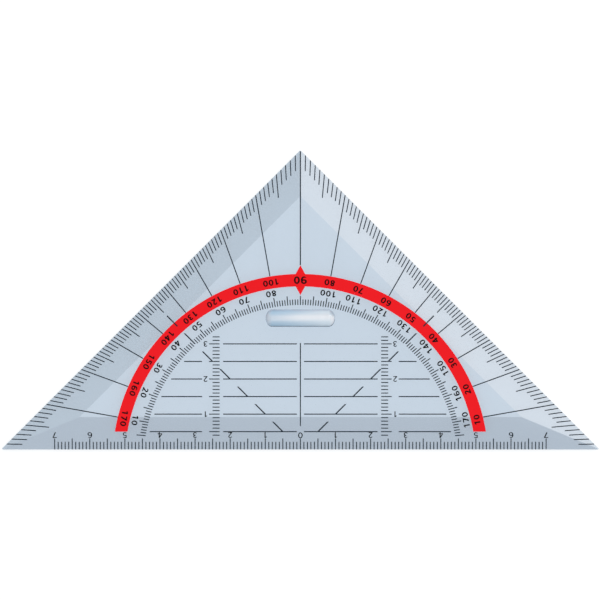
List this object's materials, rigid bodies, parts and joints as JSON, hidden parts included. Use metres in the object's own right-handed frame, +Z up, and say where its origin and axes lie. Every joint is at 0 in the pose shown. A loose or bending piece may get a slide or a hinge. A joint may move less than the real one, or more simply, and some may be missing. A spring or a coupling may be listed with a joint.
{
  "type": "protractor set square",
  "caption": "Clear right-angled set square, bevelled on three sides, with a printed protractor band, rulers, height scales and a lift-off finger grip.",
  "frame": {"origin": "the middle of the long edge at the plate's underside, just below the ruler's zero mark", "axes": "+X along the long edge towards its right-hand end, +Y towards the right-angled corner, +Z up out of the printed face"},
  "size_m": [0.1698, 0.0852, 0.0064],
  "materials": {
    "clear_plastic": "clear, faintly blue, polished",
    "grip_plastic": "clear, polished",
    "red_ink": "printed, satin",
    "black_ink": "printed, satin"
  },
  "bodies": {
    "plate": {"plate": "clear_plastic", "protractor_band": "red_ink", "band_numerals": "black_ink", "inner_degree_ticks": "black_ink", "inner_degree_numerals": "black_ink", "left_edge_degree_marks": "black_ink", "right_edge_degree_marks": "black_ink", "left_ten_degree_rays": "black_ink", "right_ten_degree_rays": "black_ink", "apex_centre_line": "black_ink", "lower_centre_line": "black_ink", "ruler_graduations": "black_ink", "ruler_numerals": "black_ink", "parallel_lines": "black_ink", "left_height_scale": "black_ink", "right_height_scale": "black_ink", "left_height_numerals": "black_ink", "right_height_numerals": "black_ink", "left_diagonal_dashes": "black_ink", "right_diagonal_dashes": "black_ink"},
    "grip": {"finger_grip": "grip_plastic"}
  },
  "joints": [
    {"name": "grip_pull_off", "type": "slide", "parent": "plate", "child": "grip", "axis": [0, 0, 1], "range_m": [0, 0.008]}
  ]
}
